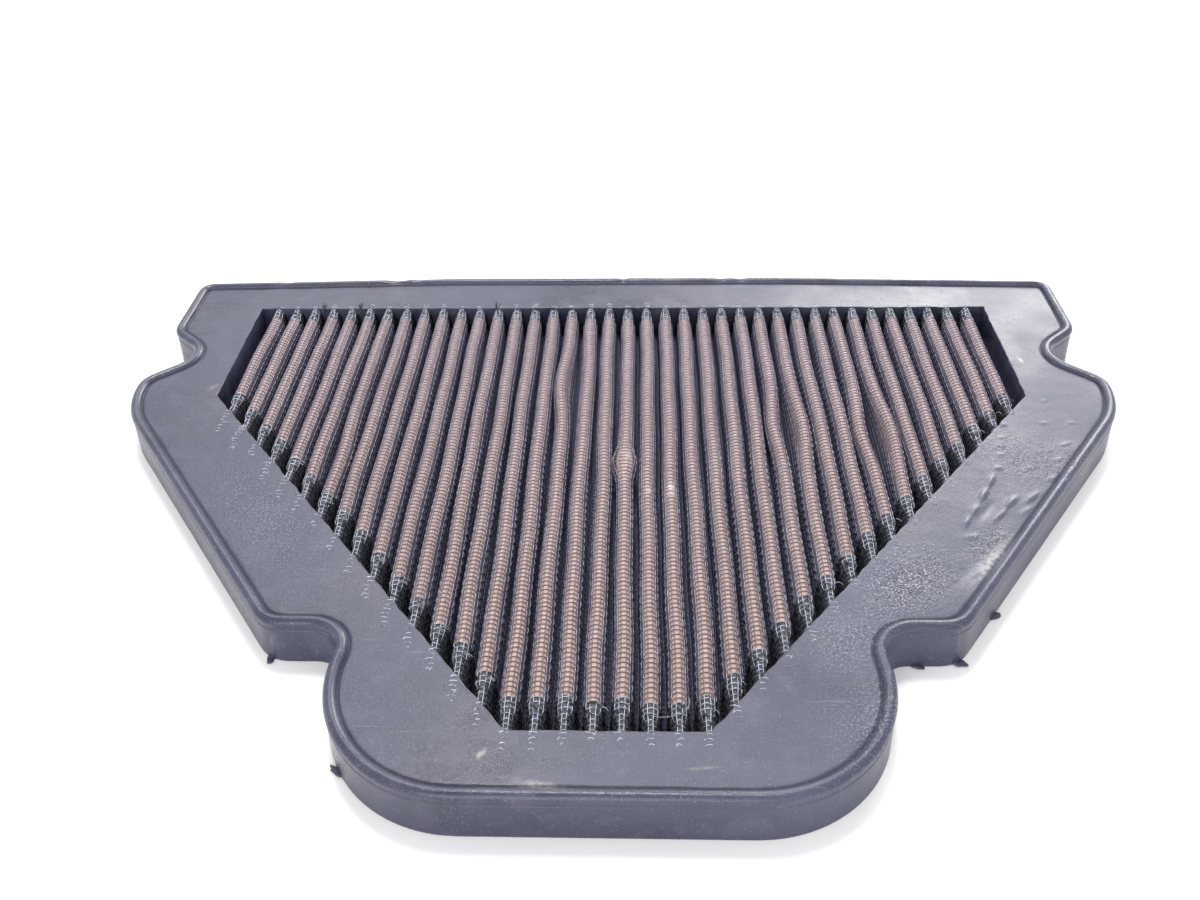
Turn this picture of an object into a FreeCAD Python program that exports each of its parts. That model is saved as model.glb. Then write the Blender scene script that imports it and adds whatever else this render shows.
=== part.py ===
import FreeCAD, Part
import math
import os

# Pleated gauze panel air filter in a moulded frame.
# Millimetres. X runs across the filter, Y towards its wide rear edge, Z up.
# The origin is the middle of the bounding box's bottom face.

# Pleated pack, seen in section across the pleats.
pleat_pitch = 6.35
pleat_count = 38
pack_height = 11.4
fold_inner_radius = 0.15
screen_thickness = 0.4
ply_thickness = 0.15
ply_count = 4
ply_clearance = 0.05
potting_clearance = 0.05
potted_depth = 7.0          # how far the pack's cut ends reach into the frame
tail_length = 3.6           # flat tail past the last pleat on each side

# Opening in the frame.
opening_side_gap = 2.75     # from the last pleat's foot to the opening's side
opening_depth = 176.8
opening_side_length = 51.8
opening_front_width = 44.8
opening_corner_radius = 1.0

# Land round the opening.
side_land = 26.8             # at the shoulders
rear_side_step = 0.8        # how much narrower the land is behind the notches
rear_land = 16.6            # at the rear corners
front_land = 17.8
shoulder_land = 25.4        # square to the diagonal, at its wide end
foot_land = 31.5            # square to the diagonal, at its narrow end
rear_crown = 3.0            # how far the rear edge bows out at its middle
rear_middle = 120.0         # straight middle of the rear edge, between two gentle bends
rear_bend_radius = 400.0
rear_corner_radius = 5.0
shoulder_radius = 34.0

# Side notches behind the shoulders.
notch_depth = 12.0
notch_flank_angle = 42.0    # between a flank and the X axis
notch_radius = 8.0
notch_lip_radius = 8.0
notch_run_out = 0.2         # straight edge between the notch and the shoulder

# Front notches and the lobe between them.
shelf_height = 29.8         # above the opening's front edge
shelf_length = 21.1
shelf_corner_radius = 9.0
front_notch_radius = 7.7
lobe_flare = 7.8            # how much wider the lobe's foot is than its waist
lobe_run = 0.1              # straight flank between the notch's arc and the lobe's

# Frame in section.
skin = 0.6                  # frame material over and under the pleats' folds
bead_radius = 1.6
bead_rise = 1.2             # height of the bead's crest above the land
wall_setback = 0.35         # wall's top behind the bead's outermost line
foot_reach = 0.35           # wall's foot beyond the bead's outermost line

pack_thickness = 2 * screen_thickness + ply_count * ply_thickness + (ply_count + 1) * ply_clearance
fold_radius = fold_inner_radius + pack_thickness / 2
land_height = pack_height + 2 * skin
overall_height = land_height + bead_rise
opening_half_width = pleat_count * pleat_pitch / 2 + opening_side_gap
pack_half_width = pleat_count * pleat_pitch / 2 + tail_length
overall_half_width = opening_half_width + side_land
overall_depth = front_land + opening_depth + rear_land + rear_crown
front_edge = -overall_depth / 2
opening_front = front_edge + front_land
opening_rear = opening_front + opening_depth
shoulder_y = opening_rear - opening_side_length


def unit(x, y):
    """The direction of a plan vector."""
    length = math.hypot(x, y)
    return x / length, y / length


def crossing(p, d, q, e):
    """Where the line through p along d meets the line through q along e."""
    t = ((q[0] - p[0]) * e[1] - (q[1] - p[1]) * e[0]) / (d[0] * e[1] - d[1] * e[0])
    return p[0] + t * d[0], p[1] + t * d[1]


def point(x, y, z):
    return FreeCAD.Vector(x, y, z)


def rounded_wire(corners, inset, z):
    """Closed wire through clockwise corners (x, y, radius), moved inwards by inset."""
    count = len(corners)
    ways = [unit(corners[(i + 1) % count][0] - corners[i][0],
                 corners[(i + 1) % count][1] - corners[i][1]) for i in range(count)]
    starts = [(corners[i][0] + inset * ways[i][1], corners[i][1] - inset * ways[i][0])
              for i in range(count)]
    arcs = []
    for i in range(count):
        way_in = ways[i - 1]
        way_out = ways[i]
        x, y = crossing(starts[i - 1], way_in, starts[i], way_out)
        turn = math.atan2(way_in[1] * way_out[0] - way_in[0] * way_out[1],
                          way_in[0] * way_out[0] + way_in[1] * way_out[1])
        radius = corners[i][2] - inset if turn > 0 else corners[i][2] + inset
        reach = radius * math.tan(abs(turn) / 2)
        middle = radius * (1 / math.cos(turn / 2) - 1)
        inward = unit(way_out[0] - way_in[0], way_out[1] - way_in[1])
        arcs.append((point(x - reach * way_in[0], y - reach * way_in[1], z),
                     point(x + middle * inward[0], y + middle * inward[1], z),
                     point(x + reach * way_out[0], y + reach * way_out[1], z)))
    edges = []
    for i in range(count):
        start, middle, end = arcs[i]
        following = arcs[(i + 1) % count][0]
        edges.append(Part.Arc(start, middle, end).toShape())
        edges.append(Part.LineSegment(end, following).toShape())
    return Part.Wire(edges)


def mirrored(half):
    """Corners of the +X half from the rear round to the front, then the -X half."""
    return half + [(-x, y, radius) for x, y, radius in reversed(half)]


def opening_corners(margin=0.0, radius=0.0):
    """Hexagonal opening, clockwise from the rear, grown by a margin all round."""
    side = opening_half_width
    front = opening_front_width / 2
    way = unit(side - front, shoulder_y - opening_front)
    diagonal = (front + margin * way[1], opening_front - margin * way[0])
    side += margin
    top = opening_rear + margin
    shoulder = crossing(diagonal, way, (side, 0), (0, 1))
    foot = crossing(diagonal, way, (0, opening_front - margin), (1, 0))
    return mirrored([(side, top, radius), (*shoulder, radius), (*foot, radius)])


def frame_corners():
    """Outermost line of the seal bead, clockwise from the bend in its rear edge."""
    side = overall_half_width
    corner_y = opening_rear + rear_land
    front = opening_front_width / 2
    normal = unit(shoulder_y - opening_front, front - opening_half_width)
    upper = (opening_half_width + shoulder_land * normal[0], shoulder_y + shoulder_land * normal[1])
    lower = (front + foot_land * normal[0], opening_front + foot_land * normal[1])
    diagonal = unit(lower[0] - upper[0], lower[1] - upper[1])

    shoulder = crossing(upper, diagonal, (side, 0), (0, 1))
    shoulder_turn = math.atan2(-diagonal[0], -diagonal[1])
    shoulder_start = shoulder[1] + shoulder_radius * math.tan(shoulder_turn / 2)

    flank = math.radians(notch_flank_angle)
    notch_apex = side - notch_depth - notch_radius * (1 / math.sin(flank) - 1)
    notch_mouth = (side - notch_apex) * math.tan(flank)
    lip_reach = notch_lip_radius * math.tan((math.pi / 2 - flank) / 2)
    notch_y = shoulder_start + notch_run_out + lip_reach + notch_mouth

    shelf_y = opening_front + shelf_height
    shelf = crossing(upper, diagonal, (0, shelf_y), (1, 0))
    waist = shelf[0] - shelf_length
    # The lobe's arc takes up all of the flank that the notch's arc leaves.
    flank_height = shelf_y - front_edge
    flank_turn = math.pi / 2 + math.atan2(lobe_flare, flank_height)
    flank_length = math.hypot(lobe_flare, flank_height) - lobe_run
    lobe_radius = flank_length / math.tan(flank_turn / 2) - front_notch_radius
    rear_side = side - rear_side_step
    half = [
        (rear_middle / 2, corner_y + rear_crown, rear_bend_radius),
        (rear_side, corner_y, rear_corner_radius),
        (rear_side, notch_y + (rear_side - notch_apex) * math.tan(flank), notch_lip_radius),
        (notch_apex, notch_y, notch_radius),
        (side, notch_y - notch_mouth, notch_lip_radius),
        (*shoulder, shoulder_radius),
        (*shelf, shelf_corner_radius),
        (waist, shelf_y, front_notch_radius),
        (waist + lobe_flare, front_edge, lobe_radius),
    ]
    return mirrored(half)


def prism(wire, height):
    return Part.Face(wire).extrude(point(0, 0, height))


def fold_path(shift):
    """Section line of the pleated pack, moved by shift towards its upper face."""
    low = skin + pack_thickness / 2 + fold_radius
    high = skin + pack_height - pack_thickness / 2 - fold_radius
    rise = high - low
    run = pleat_pitch / 2
    lean = math.atan2(run, rise) - math.asin(2 * fold_radius / math.hypot(run, rise))
    crest = fold_radius + shift
    valley = fold_radius - shift
    first = -pleat_count * pleat_pitch / 2
    edges = []

    def arc(x, z, radius, start, end):
        def at(angle):
            return point(x + radius * math.cos(angle), 0, z + radius * math.sin(angle))
        edges.append(Part.Arc(at(start), at((start + end) / 2), at(end)).toShape())
        return at(start), at(end)

    tail = point(-pack_half_width, 0, low - valley)
    foot = tail
    for i in range(pleat_count + 1):
        x = first + i * pleat_pitch
        start = -math.pi / 2 if i == 0 else lean - math.pi
        end = -math.pi / 2 if i == pleat_count else -lean
        begin = point(x + valley * math.cos(start), 0, low + valley * math.sin(start))
        edges.append(Part.LineSegment(foot, begin).toShape())
        begin, foot = arc(x, low, valley, start, end)
        if i < pleat_count:
            x += pleat_pitch / 2
            begin = point(x + crest * math.cos(math.pi - lean), 0,
                          high + crest * math.sin(math.pi - lean))
            edges.append(Part.LineSegment(foot, begin).toShape())
            begin, foot = arc(x, high, crest, math.pi - lean, lean)
    edges.append(Part.LineSegment(foot, point(pack_half_width, 0, low - valley)).toShape())
    return Part.Wire(edges)


def pleated_sheet(lower, upper, margin):
    """Pleated sheet between two shifts of the section line, cut to the pack's plan."""
    top = fold_path(upper)
    bottom = fold_path(lower)
    ends = []
    for i in (0, -1):
        ends.append(Part.LineSegment(top.OrderedVertexes[i].Point,
                                     bottom.OrderedVertexes[i].Point).toShape())
    section = Part.Wire(Part.__sortEdges__(top.Edges + bottom.Edges + ends))
    length = opening_depth + 2 * margin
    section.translate(point(0, opening_front - margin, 0))
    sheet = Part.Face(section).extrude(point(0, length, 0))
    plan = [point(x, y, 0) for x, y, radius in opening_corners(margin)]
    plan.append(plan[0])
    return sheet.common(prism(Part.makePolygon(plan), overall_height))


def make_frame():
    """One moulding: land, wall, seal bead and the potting round the pack's ends."""
    corners = frame_corners()
    wall = Part.makeLoft([rounded_wire(corners, -foot_reach, 0),
                          rounded_wire(corners, wall_setback, land_height)], True, True)
    bead_height = overall_height - bead_radius
    path = rounded_wire(corners, bead_radius, bead_height)
    start = path.Edges[0].valueAt(path.Edges[0].FirstParameter)
    tangent = path.Edges[0].tangentAt(path.Edges[0].FirstParameter)
    ring = Part.Wire(Part.makeCircle(bead_radius, start, tangent))
    bead = path.makePipeShell([ring], True, False)
    opening = prism(rounded_wire(opening_corners(0, opening_corner_radius), 0, 0), overall_height)
    slot = pleated_sheet(-pack_thickness / 2 - potting_clearance,
                         pack_thickness / 2 + potting_clearance,
                         potted_depth + potting_clearance)
    return wall.fuse(bead).removeSplitter().cut([opening, slot])


def make_pack():
    """The pack's layers, named from the bottom up, with a clearance between them."""
    names = ["lower_wire_screen"]
    names += ["gauze_ply_%d" % (i + 1) for i in range(ply_count)]
    names += ["upper_wire_screen"]
    layers = {}
    level = -pack_thickness / 2
    for name in names:
        thickness = screen_thickness if "screen" in name else ply_thickness
        layers[name] = pleated_sheet(level, level + thickness, potted_depth)
        level += thickness + ply_clearance
    return layers


os.makedirs("parts", exist_ok=True)
nodes = {"moulded_frame": make_frame()}
nodes.update(make_pack())
for name, shape in nodes.items():
    box = shape.BoundBox
    print(name, len(shape.Solids), "solid,", "valid" if shape.isValid() else "NOT VALID",
          "%.1f mm3," % shape.Volume, "%.2f x %.2f x %.2f" % (box.XLength, box.YLength, box.ZLength))
    shape.exportStep("parts/%s.step" % name)
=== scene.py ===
# %% [markdown]
# # A pleated panel air filter
# This lesson gives a motorcycle air filter its finished look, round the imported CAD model.
# The real filter is a pack of oiled cotton gauze between two woven wire screens. The pack is
# folded into 38 pleats and cast into one soft polyurethane frame with a half-round seal bead.
# Everything is in metres and Z is up. The CAD model gives every place, so it is loaded first.

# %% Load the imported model
import math

import bpy
import numpy as np
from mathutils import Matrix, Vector, noise


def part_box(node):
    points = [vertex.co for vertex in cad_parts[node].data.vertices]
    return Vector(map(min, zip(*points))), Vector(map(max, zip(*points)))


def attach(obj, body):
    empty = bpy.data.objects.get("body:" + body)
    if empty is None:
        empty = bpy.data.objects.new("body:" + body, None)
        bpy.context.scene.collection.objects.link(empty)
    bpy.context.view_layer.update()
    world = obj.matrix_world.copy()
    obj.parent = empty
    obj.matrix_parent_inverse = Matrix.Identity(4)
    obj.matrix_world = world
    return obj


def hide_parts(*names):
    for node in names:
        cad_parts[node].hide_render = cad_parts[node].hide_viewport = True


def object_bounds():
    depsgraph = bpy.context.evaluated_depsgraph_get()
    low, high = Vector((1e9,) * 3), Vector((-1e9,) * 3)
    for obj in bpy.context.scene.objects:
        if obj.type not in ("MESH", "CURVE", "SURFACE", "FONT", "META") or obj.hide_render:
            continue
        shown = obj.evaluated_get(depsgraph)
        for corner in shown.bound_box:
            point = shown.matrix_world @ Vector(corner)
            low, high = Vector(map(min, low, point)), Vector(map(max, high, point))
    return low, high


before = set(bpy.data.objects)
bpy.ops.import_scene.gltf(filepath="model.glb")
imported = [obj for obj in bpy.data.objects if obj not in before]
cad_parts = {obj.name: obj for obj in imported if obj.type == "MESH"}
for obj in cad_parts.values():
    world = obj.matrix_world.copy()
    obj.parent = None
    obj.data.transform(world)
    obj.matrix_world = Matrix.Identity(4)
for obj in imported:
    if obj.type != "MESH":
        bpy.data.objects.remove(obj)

cad_low, cad_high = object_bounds()
print("CAD box, mm:", [round(1000 * v, 1) for v in (*cad_low, *cad_high)])

# %% [markdown]
# ## Small helpers
# An operator acts on everything that is selected, and loading leaves the CAD nodes selected.
# So each step first picks the one piece that it works on.

# %% Pick a piece, move its points, finish it
MM = 0.001


def pick(*pieces):
    """Select only these pieces, in object mode, with the last one active."""
    if bpy.context.object and bpy.context.object.mode != "OBJECT":
        bpy.ops.object.mode_set(mode="OBJECT")
    bpy.ops.object.select_all(action="DESELECT")
    for piece in pieces:
        piece.select_set(True)
        bpy.context.view_layer.objects.active = piece


def points_of(piece):
    """The piece's points as an array of rows x, y, z."""
    flat = np.empty(3 * len(piece.data.vertices))
    piece.data.vertices.foreach_get("co", flat)
    return flat.reshape(-1, 3)


def move_points(piece, points):
    """Put the piece's points at these rows x, y, z."""
    piece.data.vertices.foreach_set("co", points.ravel())
    piece.data.update()


def store(piece, name, values):
    """Keep one number per point, for the materials to read."""
    attribute = piece.data.attributes.new(name, "FLOAT", "POINT")
    attribute.data.foreach_set("value", np.asarray(values, dtype=np.float32))


def smooth(t):
    """A soft step from 0 to 1."""
    t = np.clip(t, 0.0, 1.0)
    return t * t * (3 - 2 * t)


def fit(piece, slot, material, *nodes):
    """Give a finished piece its body and material, and hide the CAD nodes it stands for. The slot is not
    used.
    """
    piece.data.materials.clear()
    piece.data.materials.append(material)
    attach(piece, "root")
    if nodes:
        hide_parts(*nodes)
    print(piece.name, "has", len(piece.data.polygons), "faces")


# %% [markdown]
# ## Camera, floor and light
# The filter lies flat and is seen from just in front of its narrow lobe, from above at 38 degrees.
# The floor is a pale sheet, and the light is soft and comes from everywhere, as in a small
# light tent. A broad window-like lamp behind on the right lights up the land there, a small lamp above
# draws the bright line along the seal bead, and a large one in front lights the wall.
# The helpers for materials are here too, because the floor is the first piece to have one.

# %% Camera
camera_data = bpy.data.cameras.new("camera")
camera_data.sensor_width = 36
camera_data.lens = 33
camera_data.clip_start = 0.01
camera = bpy.data.objects.new("camera", camera_data)
camera.location = (0.00664, -0.23852, 0.20708)
camera.rotation_euler = [math.radians(a) for a in (51.833, 1.142, 1.612)]
bpy.context.scene.collection.objects.link(camera)
bpy.context.scene.camera = camera
print("camera", camera_data.lens, "mm")


# %% A helper for materials
def new_material(name):
    """An empty material and the calls that add and join its nodes."""
    material = bpy.data.materials.new(name)
    material.use_nodes = True
    tree = material.node_tree
    shader = tree.nodes["Principled BSDF"]

    def node(kind, **inputs):
        made = tree.nodes.new("ShaderNode" + kind)
        for key, value in inputs.items():
            key = key.replace("_", " ")
            target = made.inputs[int(key)] if key.isdigit() else made.inputs[key]
            if isinstance(value, bpy.types.NodeSocket):
                tree.links.new(value, target)
            else:
                target.default_value = value
        return made

    return material, tree, shader, node


def ramp(node, factor, *stops):
    """A colour ramp through stops of (position, grey or colour)."""
    made = node("ValToRGB", Fac=factor)
    elements = made.color_ramp.elements
    while len(elements) < len(stops):
        elements.new(0.5)
    for element, (position, colour) in zip(elements, stops):
        element.position = position
        element.color = (*colour, 1) if isinstance(colour, tuple) else (colour,) * 3 + (1,)
    return made.outputs["Color"]


def mixed(node, factor, first, second, blend="MIX"):
    """Mix two colours, given as sockets or as RGB."""
    made = node("MixRGB")
    made.blend_type = blend
    for key, value in (("Fac", factor), ("Color1", first), ("Color2", second)):
        if isinstance(value, bpy.types.NodeSocket):
            made.id_data.links.new(value, made.inputs[key])
        else:
            made.inputs[key].default_value = value if isinstance(value, float) else (*value, 1)
    return made.outputs["Color"]


def layered(node, colour, *layers):
    """Lay layers over a colour, each one given as how much there is of it and its colour."""
    for factor, top in layers:
        colour = mixed(node, factor, colour, top)
    return colour


def noise_at(node, place, scale, detail=4.0, roughness=0.55):
    """A noise pattern's value."""
    return node("TexNoise", Vector=place, Scale=scale, Detail=detail, Roughness=roughness).outputs[0]


def math_node(node, operation, first, second=0.0, third=0.0):
    """One calculation on sockets or numbers."""
    made = node("Math")
    made.operation = operation
    for i, value in enumerate((first, second, third)):
        if isinstance(value, bpy.types.NodeSocket):
            made.id_data.links.new(value, made.inputs[i])
        else:
            made.inputs[i].default_value = value
    return made.outputs[0]


def attribute(node, name, times=1.0):
    """The value of one of the piece's attributes, times a number."""
    made = node("Attribute")
    made.attribute_name = name
    return math_node(node, "MULTIPLY", made.outputs["Fac"], times)


def ripple(node, position, pitch):
    """A wave from 0 to 1 and back along a position, once in each pitch."""
    turn = math_node(node, "MULTIPLY", position, math.pi / pitch)
    return math_node(node, "ABSOLUTE", math_node(node, "SINE", turn))


def from_front(node, place):
    """How far a place lies from the opening's front edge, 0, to its rear edge, 1."""
    y = node("SeparateXYZ", Vector=place).outputs[1]
    return node("MapRange", **{"Value": y, "From Min": front_y, "From Max": rear_y}).outputs[0]


# %% Floor and light
bpy.ops.mesh.primitive_grid_add(x_subdivisions=8, y_subdivisions=8, size=1)
floor = bpy.context.object
floor.name = "floor"
FLOOR_SIZE = 6.0
move_points(floor, points_of(floor) * FLOOR_SIZE)
bpy.ops.object.shade_smooth()
paper, tree, shader, node = new_material("floor_paper")
place = node("TexCoord").outputs["Object"]
shader.inputs["Roughness"].default_value = 0.6
tint = mixed(node, noise_at(node, place, 3.0), (0.93, 0.92, 0.92), (0.95, 0.945, 0.945))
tree.links.new(tint, shader.inputs["Base Color"])
floor.data.materials.append(paper)

world = bpy.data.worlds.new("studio")
bpy.context.scene.world = world
world.use_nodes = True
world.node_tree.nodes["Background"].inputs["Color"].default_value = (1, 1, 1, 1)
world.node_tree.nodes["Background"].inputs["Strength"].default_value = 1.0


def add_lamp(name, place, target, size, power):
    """A broad lamp that points at a target."""
    data = bpy.data.lights.new(name, "AREA")
    data.shape = "DISK"
    data.size = size
    data.energy = power
    lamp = bpy.data.objects.new(name, data)
    lamp.location = place
    lamp.rotation_euler = (Vector(target) - Vector(place)).to_track_quat("-Z", "Y").to_euler()
    bpy.context.scene.collection.objects.link(lamp)


add_lamp("lamp_behind", (-0.36, 1.0, 0.95), (0, 0, 0), 0.6, 4)
add_lamp("lamp_window", (0.5, 1.28, 0.70), (0.05, 0.05, 0), 0.8, 12)
add_lamp("lamp_above", (-0.06, 0.42, 1.3), (0, 0, 0), 0.25, 8)
add_lamp("lamp_front", (-0.2, -1.15, 0.5), (0, 0, 0), 1.0, 7)
bpy.context.scene.view_settings.view_transform = "Standard"
print("floor", len(floor.data.polygons), "faces, four lamps")

# %% [markdown]
# ## What the pack measures
# The CAD screens give the pack's box. The heights of the fold centres follow from it and from the
# given pitch and fold radius, so the wires and the gauze fall where the CAD sheets are.

# %% Measures of the pack
PLEATS = 38
PITCH = 6.35 * MM
PACK_THICKNESS = 1.65 * MM
FOLD_RADIUS = 0.975 * MM
SCREEN_SHIFT = 0.625 * MM      # from the pack's middle to the middle of a screen

pack_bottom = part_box("lower_wire_screen")[0].z
pack_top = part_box("upper_wire_screen")[1].z
low_fold = pack_bottom + PACK_THICKNESS / 2 + FOLD_RADIUS
high_fold = pack_top - PACK_THICKNESS / 2 - FOLD_RADIUS
rise = high_fold - low_fold
lean = math.atan2(PITCH / 2, rise) - math.asin(2 * FOLD_RADIUS / math.hypot(PITCH / 2, rise))
flank = math.sqrt((PITCH / 2) ** 2 + rise ** 2 - (2 * FOLD_RADIUS) ** 2)
middle = (low_fold + high_fold) / 2
print("pleats lean %.1f degrees, flank %.2f mm" % (math.degrees(lean), flank / MM))


# %% [markdown]
# ## The casting's outlines
# A copy of the CAD casting is sliced level, through its thin skin over the pleats. The slice has
# two loops: the seal bead's outermost line and the opening's edge.

# %% Slice the casting
def slice_loops(name, height):
    """Slice a copy of a CAD node level, and return each loop of the slice as x, y points."""
    pick(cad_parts[name])
    bpy.ops.object.duplicate()
    copy = bpy.context.object
    bpy.ops.object.mode_set(mode="EDIT")
    bpy.ops.mesh.select_all(action="SELECT")
    bpy.ops.mesh.remove_doubles(threshold=1e-6)
    bpy.ops.mesh.bisect(plane_co=(0, 0, height), plane_no=(0, 0, 1), clear_inner=True, clear_outer=True)
    bpy.ops.mesh.select_all(action="SELECT")
    bpy.ops.mesh.remove_doubles(threshold=1e-6)
    bpy.ops.object.mode_set(mode="OBJECT")
    points = points_of(copy)[:, :2]
    beside = {}
    for edge in copy.data.edges:
        a, b = edge.vertices
        beside.setdefault(a, []).append(b)
        beside.setdefault(b, []).append(a)
    bpy.data.objects.remove(copy)
    loops = []
    while beside:
        start = next(iter(beside))
        loop, here = [], start
        while here in beside:
            following = beside.pop(here)
            loop.append(here)
            here = next((n for n in following if n in beside), None)
        loops.append(points[loop])
    return sorted(loops, key=lambda loop: -np.ptp(loop[:, 0]))


SKIN_LEVEL = 12.25 * MM
loops = slice_loops("moulded_frame", SKIN_LEVEL)
outline, opening = loops[0], loops[1]
side_x = opening[:, 0].max()
rear_y = opening[:, 1].max()
front_y = opening[:, 1].min()
foot_x = 22.4 * MM       # half of the opening's front edge, up to its corner
shoulder_y = opening[opening[:, 0] > side_x - 0.1 * MM, 1].min()
diagonal_slope = (shoulder_y - front_y) / (side_x - foot_x)
diagonal_tilt = math.hypot(1, diagonal_slope)
print(len(loops), "loops; opening, mm: side %.1f rear %.1f front %.1f foot %.1f shoulder %.1f" %
      tuple(v / MM for v in (side_x, rear_y, front_y, foot_x, shoulder_y)))

# %% [markdown]
# ## The casting
# The frame is one polyurethane casting. Its section is the same all the way round: a rounded
# foot, a wall that leans in a little, a fine step left by the mould's joint, the half-round bead,
# and a crease where the bead meets the land. A curve with a bevel could sweep that section, but
# the land's width changes. So each point of the section becomes a ring round the outline, more
# rings cross the land, go down the opening's wall and come back underneath, and a grid is laid
# onto the rings. That keeps the faces even, for the relief that comes next.

# %% The section that runs round the rim
LAND = pack_top + 0.6 * MM
BEAD_RADIUS = 1.6 * MM
BEAD_CENTRE = cad_high.z - BEAD_RADIUS
RIM_POINTS = 1100
LAND_INSET = 4.6                # mm from the outline to where the flat of the land begins

outside = [(-LAND_INSET, 0.0), (-1.2, 0.0), (0.08, 0.0), (0.25, 0.08), (0.33, 0.26), (0.31, 0.6),
           (0.2, 2.6), (0.08, 5.2), (-0.04, 7.8), (-0.14, 10.0), (-0.15, 10.25), (-0.26, 10.36),
           (-0.29, 10.6), (-0.31, 11.0)]
section = [(d * MM, z * MM) for d, z in outside]
BEAD_STEPS = 16
for i in range(BEAD_STEPS + 1):
    angle = math.radians(-38 + (165 + 38) * i / BEAD_STEPS)
    section.append((BEAD_RADIUS * (math.cos(angle) - 1), BEAD_CENTRE + BEAD_RADIUS * math.sin(angle)))
crease = [(-3.14, -0.08), (-3.2, -0.2), (-3.32, -0.27), (-3.48, -0.24), (-3.66, -0.14), (-3.9, -0.05),
          (-4.2, -0.01), (-LAND_INSET, 0.0)]
crease_start = len(section)
section += [(d * MM, LAND + z * MM) for d, z in crease]
print("section of", len(section), "points, land at %.1f mm" % (LAND / MM))


# %% Even out the outline
def evened(loop, count, blur):
    """Spread points evenly along a closed loop and round off its facets."""
    closed = np.vstack([loop, loop[:1]])
    run = np.concatenate([[0], np.cumsum(np.linalg.norm(np.diff(closed, axis=0), axis=1))])
    at = np.linspace(0, run[-1], count, endpoint=False)
    even = np.stack([np.interp(at, run, closed[:, i]) for i in (0, 1)], axis=1)
    reach = int(round(3 * blur))
    weights = np.exp(-0.5 * (np.arange(-reach, reach + 1) / blur) ** 2)
    weights /= weights.sum()
    return sum(w * np.roll(even, i - reach, axis=0) for i, w in enumerate(weights))


area = np.sum(outline[:, 0] * np.roll(outline[:, 1], -1) - np.roll(outline[:, 0], -1) * outline[:, 1])
if area < 0:
    outline = outline[::-1]
rim = evened(outline, RIM_POINTS, 1.2)
tangent = np.roll(rim, -1, axis=0) - np.roll(rim, 1, axis=0)
tangent /= np.linalg.norm(tangent, axis=1)[:, None]
outward = np.stack([tangent[:, 1], -tangent[:, 0]], axis=1)
print("rim of %.0f mm, a point each %.2f mm" % (
    1000 * np.linalg.norm(np.roll(rim, -1, axis=0) - rim, axis=1).sum(),
    1000 * np.linalg.norm(rim[1] - rim[0])))


# %% Rings from the foot over the bead and the land, down the opening and back under
CENTRE = np.array([0.0, 20 * MM])       # every ray from here meets each outline once


def on_opening(grow):
    """Where the rays to the rim meet the opening's edge, moved outwards by grow."""
    ray = rim - LAND_INSET * MM * outward - CENTRE
    x, y = np.abs(ray[:, 0]), ray[:, 1]
    with np.errstate(divide="ignore"):
        to_side = (side_x + grow) / np.maximum(x, 1e-9)
        to_rear = np.where(y > 0, (rear_y + grow - CENTRE[1]) / np.maximum(y, 1e-9), 1e9)
        to_front = np.where(y < 0, (front_y - grow - CENTRE[1]) / np.minimum(y, -1e-9), 1e9)
        down = diagonal_slope * x - y
        to_line = CENTRE[1] - front_y + diagonal_slope * foot_x + grow * diagonal_tilt
        to_diagonal = np.where(down > 0, to_line / np.maximum(down, 1e-9), 1e9)
    nearest = np.minimum(np.minimum(to_side, to_rear), np.minimum(to_front, to_diagonal))
    return CENTRE + ray * nearest[:, None]


def at_height(ring, z):
    return np.column_stack([ring, np.full(len(ring), z)])


rings = [at_height(rim + outward * d, z) for d, z in section]
land_start = len(rings) - 1
LAND_STEPS = 34
UNDER_STEPS = 9
LIP_WAVE = 3.1 * MM
LIP_HEIGHT = 0.28 * MM          # the resin's edge is never quite straight
lip = LIP_HEIGHT * np.array([noise.noise(Vector((a / LIP_WAVE, b / LIP_WAVE, 5)))
                             for a, b in on_opening(0.0)])
edge = on_opening(0.15 * MM + lip)
for i in range(1, LAND_STEPS + 1):
    share = i / LAND_STEPS
    rings.append(rings[land_start] * (1 - share) + at_height(edge, LAND) * share)
land_end = len(rings) - 1
for grow, z in ((0.04, LAND - 0.05 * MM), (0.0, LAND - 0.2 * MM), (0.0, 9 * MM), (0.0, 6.3 * MM),
                (0.0, 3.5 * MM), (0.0, 0.2 * MM), (0.04, 0.05 * MM), (0.15, 0.0)):
    rings.append(at_height(on_opening(grow * MM + lip), z))
under_start = len(rings) - 1
for i in range(1, UNDER_STEPS):
    share = i / UNDER_STEPS
    rings.append(rings[under_start] * (1 - share) + rings[0] * share)
print(len(rings), "rings of", RIM_POINTS, "points")


# %% Wrap a grid round the rings
def wrapped_grid(name, rings, marks):
    """Lay a grid primitive onto closed rings, and merge its edges where they meet."""
    rings = np.array(rings + rings[:1])
    rings = np.concatenate([rings, rings[:, :1]], axis=1)
    rows, columns = rings.shape[:2]
    pick()
    bpy.ops.mesh.primitive_grid_add(x_subdivisions=columns - 1, y_subdivisions=rows - 1, size=1)
    piece = bpy.context.object
    piece.name = name
    move_points(piece, rings.reshape(-1, 3))
    for mark, chosen in marks.items():
        rows_marked = np.zeros(rows)
        rows_marked[list(chosen)] = 1
        store(piece, mark, np.repeat(rows_marked, columns))
    bpy.ops.object.mode_set(mode="EDIT")
    bpy.ops.mesh.select_all(action="SELECT")
    bpy.ops.mesh.remove_doubles(threshold=1e-7)
    bpy.ops.mesh.normals_make_consistent(inside=False)
    bpy.ops.object.mode_set(mode="OBJECT")
    return piece


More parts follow.
